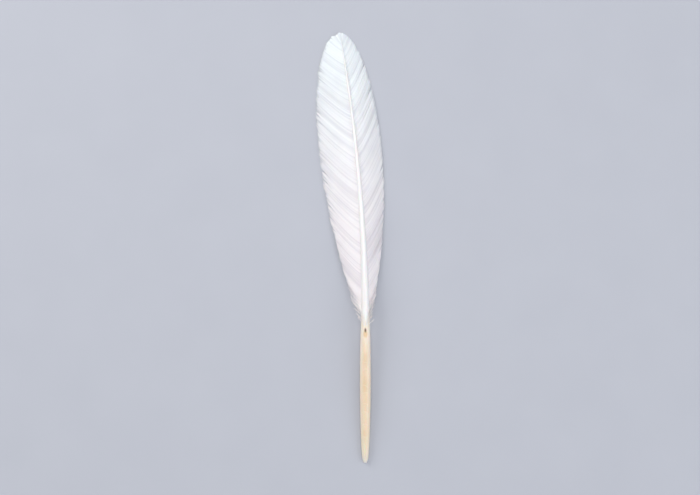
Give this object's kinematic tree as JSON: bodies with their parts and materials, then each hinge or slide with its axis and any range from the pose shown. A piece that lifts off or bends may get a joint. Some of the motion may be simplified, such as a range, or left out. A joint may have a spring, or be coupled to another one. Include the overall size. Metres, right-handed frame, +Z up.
{
  "type": "goose quill feather",
  "caption": "White goose wing feather: a bare tapered quill runs on as a gently curved shaft between a narrow outer vane and a wide inner vane with a blunt round tip.",
  "frame": {"origin": "bottom centre of the whole feather's box, on the surface that it lies on", "axes": "+Y from the bare quill's end towards the tip, +X towards the outer vane's side, +Z up from the surface, out of the feather's upper face"},
  "size_m": [0.0204, 0.126, 0.0054],
  "materials": {
    "quill_horn": "satin",
    "vane_barbs": "matte"
  },
  "bodies": {
    "root": {"quill": "quill_horn", "outer_vane": "vane_barbs", "inner_vane": "vane_barbs"}
  },
  "joints": []
}
